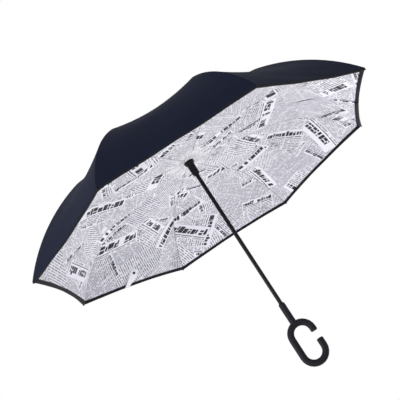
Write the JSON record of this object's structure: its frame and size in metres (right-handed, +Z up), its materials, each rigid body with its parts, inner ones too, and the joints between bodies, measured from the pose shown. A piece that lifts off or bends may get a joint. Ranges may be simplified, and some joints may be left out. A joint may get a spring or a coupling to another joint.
{
  "type": "inverted umbrella",
  "caption": "Reverse-folding umbrella, open: outer canopy over bowed ribs, inner canopy below, sliding runner with push button, straight shaft and C-shaped grip.",
  "frame": {"origin": "centre of the C-shaped grip, on the shaft's axis, where the hand holds it", "axes": "+Z up along the shaft, +X towards the gap of the C-shaped grip"},
  "size_m": [0.9742, 0.9742, 0.7656],
  "materials": {
    "black_lacquer": "black lacquer, satin",
    "plated_steel": "dark plated",
    "black_plastic": "moulded, fine grain",
    "grey_plastic": "moulded",
    "soft_touch_grip": "soft-touch coated",
    "glass_fibre": "black glass fibre",
    "outer_cloth": "dark navy woven pongee",
    "inner_cloth": "pale woven pongee with a grey newsprint-like print"
  },
  "bodies": {
    "root": {"shaft": "black_lacquer", "crown": "black_plastic", "crown_wire": "plated_steel", "top_cap": "black_plastic", "handle_neck": "soft_touch_grip", "c_grip": "soft_touch_grip", "open_catch": "plated_steel", "closed_catch": "plated_steel", "outer_canopy": "outer_cloth"},
    "runner": {"runner": "black_plastic", "runner_collar": "black_plastic", "runner_wire": "plated_steel", "button_spring": "plated_steel", "inner_canopy": "inner_cloth"},
    "button": {"release_button": "grey_plastic"},
    "lower_arm_1": {"lower_arm_1": "plated_steel"},
    "rib_1": {"rib_block_1": "grey_plastic", "rib_rod_1": "glass_fibre", "rib_tip_1": "black_plastic"},
    "upper_arm_1": {"upper_arm_1": "plated_steel"},
    "lower_arm_2": {"lower_arm_2": "plated_steel"},
    "rib_2": {"rib_block_2": "grey_plastic", "rib_rod_2": "glass_fibre", "rib_tip_2": "black_plastic"},
    "upper_arm_2": {"upper_arm_2": "plated_steel"},
    "lower_arm_3": {"lower_arm_3": "plated_steel"},
    "rib_3": {"rib_block_3": "grey_plastic", "rib_rod_3": "glass_fibre", "rib_tip_3": "black_plastic"},
    "upper_arm_3": {"upper_arm_3": "plated_steel"},
    "lower_arm_4": {"lower_arm_4": "plated_steel"},
    "rib_4": {"rib_block_4": "grey_plastic", "rib_rod_4": "glass_fibre", "rib_tip_4": "black_plastic", "closing_strap": "inner_cloth"},
    "upper_arm_4": {"upper_arm_4": "plated_steel"},
    "lower_arm_5": {"lower_arm_5": "plated_steel"},
    "rib_5": {"rib_block_5": "grey_plastic", "rib_rod_5": "glass_fibre", "rib_tip_5": "black_plastic"},
    "upper_arm_5": {"upper_arm_5": "plated_steel"},
    "lower_arm_6": {"lower_arm_6": "plated_steel"},
    "rib_6": {"rib_block_6": "grey_plastic", "rib_rod_6": "glass_fibre", "rib_tip_6": "black_plastic"},
    "upper_arm_6": {"upper_arm_6": "plated_steel"},
    "lower_arm_7": {"lower_arm_7": "plated_steel"},
    "rib_7": {"rib_block_7": "grey_plastic", "rib_rod_7": "glass_fibre", "rib_tip_7": "black_plastic"},
    "upper_arm_7": {"upper_arm_7": "plated_steel"},
    "lower_arm_8": {"lower_arm_8": "plated_steel"},
    "rib_8": {"rib_block_8": "grey_plastic", "rib_rod_8": "glass_fibre", "rib_tip_8": "black_plastic"},
    "upper_arm_8": {"upper_arm_8": "plated_steel"}
  },
  "joints": [
    {"name": "runner_slide", "type": "slide", "parent": "root", "child": "runner", "axis": [0, 0, -1], "range_m": [0, 0.40908], "deforming": ["outer_canopy", "inner_canopy", "closing_strap", "open_catch", "closed_catch"]},
    {"name": "button_press", "type": "slide", "parent": "runner", "child": "button", "axis": [0, -1, 0], "range_m": [0, 0.002], "stiffness_N_per_m": 400, "springref_m": -0.003, "deforming": ["button_spring"]},
    {"name": "lower_arm_1_hinge", "type": "hinge", "parent": "runner", "child": "lower_arm_1", "pos_m": [0.01848, 0.00765, 0.59749], "axis": [0.3827, -0.9239, 0], "range_deg": [0, 77.87]},
    {"name": "rib_1_hinge", "type": "hinge", "parent": "lower_arm_1", "child": "rib_1", "pos_m": [0.26423, 0.10945, 0.64599], "axis": [0.3827, -0.9239, 0], "range_deg": [0, 38.53]},
    {"name": "upper_arm_1_hinge", "type": "hinge", "parent": "root", "child": "upper_arm_1", "pos_m": [0.01848, 0.00765, 0.66699], "axis": [0.3827, -0.9239, 0], "range_deg": [-84.49, 0]},
    {"name": "lower_arm_2_hinge", "type": "hinge", "parent": "runner", "child": "lower_arm_2", "pos_m": [0.00765, 0.01848, 0.59749], "axis": [0.9239, -0.3827, 0], "range_deg": [0, 77.87]},
    {"name": "rib_2_hinge", "type": "hinge", "parent": "lower_arm_2", "child": "rib_2", "pos_m": [0.10945, 0.26423, 0.64599], "axis": [0.9239, -0.3827, 0], "range_deg": [0, 38.53]},
    {"name": "upper_arm_2_hinge", "type": "hinge", "parent": "root", "child": "upper_arm_2", "pos_m": [0.00765, 0.01848, 0.66699], "axis": [0.9239, -0.3827, 0], "range_deg": [-84.49, 0]},
    {"name": "lower_arm_3_hinge", "type": "hinge", "parent": "runner", "child": "lower_arm_3", "pos_m": [-0.00765, 0.01848, 0.59749], "axis": [0.9239, 0.3827, 0], "range_deg": [0, 77.87]},
    {"name": "rib_3_hinge", "type": "hinge", "parent": "lower_arm_3", "child": "rib_3", "pos_m": [-0.10945, 0.26423, 0.64599], "axis": [0.9239, 0.3827, 0], "range_deg": [0, 38.53]},
    {"name": "upper_arm_3_hinge", "type": "hinge", "parent": "root", "child": "upper_arm_3", "pos_m": [-0.00765, 0.01848, 0.66699], "axis": [0.9239, 0.3827, 0], "range_deg": [-84.49, 0]},
    {"name": "lower_arm_4_hinge", "type": "hinge", "parent": "runner", "child": "lower_arm_4", "pos_m": [-0.01848, 0.00765, 0.59749], "axis": [0.3827, 0.9239, 0], "range_deg": [0, 77.87]},
    {"name": "rib_4_hinge", "type": "hinge", "parent": "lower_arm_4", "child": "rib_4", "pos_m": [-0.26423, 0.10945, 0.64599], "axis": [0.3827, 0.9239, 0], "range_deg": [0, 38.53]},
    {"name": "upper_arm_4_hinge", "type": "hinge", "parent": "root", "child": "upper_arm_4", "pos_m": [-0.01848, 0.00765, 0.66699], "axis": [0.3827, 0.9239, 0], "range_deg": [-84.49, 0]},
    {"name": "lower_arm_5_hinge", "type": "hinge", "parent": "runner", "child": "lower_arm_5", "pos_m": [-0.01848, -0.00765, 0.59749], "axis": [-0.3827, 0.9239, 0], "range_deg": [0, 77.87]},
    {"name": "rib_5_hinge", "type": "hinge", "parent": "lower_arm_5", "child": "rib_5", "pos_m": [-0.26423, -0.10945, 0.64599], "axis": [-0.3827, 0.9239, 0], "range_deg": [0, 38.53]},
    {"name": "upper_arm_5_hinge", "type": "hinge", "parent": "root", "child": "upper_arm_5", "pos_m": [-0.01848, -0.00765, 0.66699], "axis": [-0.3827, 0.9239, 0], "range_deg": [-84.49, 0]},
    {"name": "lower_arm_6_hinge", "type": "hinge", "parent": "runner", "child": "lower_arm_6", "pos_m": [-0.00765, -0.01848, 0.59749], "axis": [-0.9239, 0.3827, 0], "range_deg": [0, 77.87]},
    {"name": "rib_6_hinge", "type": "hinge", "parent": "lower_arm_6", "child": "rib_6", "pos_m": [-0.10945, -0.26423, 0.64599], "axis": [-0.9239, 0.3827, 0], "range_deg": [0, 38.53]},
    {"name": "upper_arm_6_hinge", "type": "hinge", "parent": "root", "child": "upper_arm_6", "pos_m": [-0.00765, -0.01848, 0.66699], "axis": [-0.9239, 0.3827, 0], "range_deg": [-84.49, 0]},
    {"name": "lower_arm_7_hinge", "type": "hinge", "parent": "runner", "child": "lower_arm_7", "pos_m": [0.00765, -0.01848, 0.59749], "axis": [-0.9239, -0.3827, 0], "range_deg": [0, 77.87]},
    {"name": "rib_7_hinge", "type": "hinge", "parent": "lower_arm_7", "child": "rib_7", "pos_m": [0.10945, -0.26423, 0.64599], "axis": [-0.9239, -0.3827, 0], "range_deg": [0, 38.53]},
    {"name": "upper_arm_7_hinge", "type": "hinge", "parent": "root", "child": "upper_arm_7", "pos_m": [0.00765, -0.01848, 0.66699], "axis": [-0.9239, -0.3827, 0], "range_deg": [-84.49, 0]},
    {"name": "lower_arm_8_hinge", "type": "hinge", "parent": "runner", "child": "lower_arm_8", "pos_m": [0.01848, -0.00765, 0.59749], "axis": [-0.3827, -0.9239, 0], "range_deg": [0, 77.87]},
    {"name": "rib_8_hinge", "type": "hinge", "parent": "lower_arm_8", "child": "rib_8", "pos_m": [0.26423, -0.10945, 0.64599], "axis": [-0.3827, -0.9239, 0], "range_deg": [0, 38.53]},
    {"name": "upper_arm_8_hinge", "type": "hinge", "parent": "root", "child": "upper_arm_8", "pos_m": [0.01848, -0.00765, 0.66699], "axis": [-0.3827, -0.9239, 0], "range_deg": [-84.49, 0]}
  ],
  "couplings": [
    {"joint": "lower_arm_1_hinge", "follows": "runner_slide", "rad_per_m": 3.3136},
    {"joint": "rib_1_hinge", "follows": "runner_slide", "rad_per_m": 1.6355},
    {"joint": "upper_arm_1_hinge", "follows": "runner_slide", "rad_per_m": -3.5963},
    {"joint": "lower_arm_2_hinge", "follows": "runner_slide", "rad_per_m": 3.3136},
    {"joint": "rib_2_hinge", "follows": "runner_slide", "rad_per_m": 1.6355},
    {"joint": "upper_arm_2_hinge", "follows": "runner_slide", "rad_per_m": -3.5963},
    {"joint": "lower_arm_3_hinge", "follows": "runner_slide", "rad_per_m": 3.3136},
    {"joint": "rib_3_hinge", "follows": "runner_slide", "rad_per_m": 1.6355},
    {"joint": "upper_arm_3_hinge", "follows": "runner_slide", "rad_per_m": -3.5963},
    {"joint": "lower_arm_4_hinge", "follows": "runner_slide", "rad_per_m": 3.3136},
    {"joint": "rib_4_hinge", "follows": "runner_slide", "rad_per_m": 1.6355},
    {"joint": "upper_arm_4_hinge", "follows": "runner_slide", "rad_per_m": -3.5963},
    {"joint": "lower_arm_5_hinge", "follows": "runner_slide", "rad_per_m": 3.3136},
    {"joint": "rib_5_hinge", "follows": "runner_slide", "rad_per_m": 1.6355},
    {"joint": "upper_arm_5_hinge", "follows": "runner_slide", "rad_per_m": -3.5963},
    {"joint": "lower_arm_6_hinge", "follows": "runner_slide", "rad_per_m": 3.3136},
    {"joint": "rib_6_hinge", "follows": "runner_slide", "rad_per_m": 1.6355},
    {"joint": "upper_arm_6_hinge", "follows": "runner_slide", "rad_per_m": -3.5963},
    {"joint": "lower_arm_7_hinge", "follows": "runner_slide", "rad_per_m": 3.3136},
    {"joint": "rib_7_hinge", "follows": "runner_slide", "rad_per_m": 1.6355},
    {"joint": "upper_arm_7_hinge", "follows": "runner_slide", "rad_per_m": -3.5963},
    {"joint": "lower_arm_8_hinge", "follows": "runner_slide", "rad_per_m": 3.3136},
    {"joint": "rib_8_hinge", "follows": "runner_slide", "rad_per_m": 1.6355},
    {"joint": "upper_arm_8_hinge", "follows": "runner_slide", "rad_per_m": -3.5963}
  ]
}
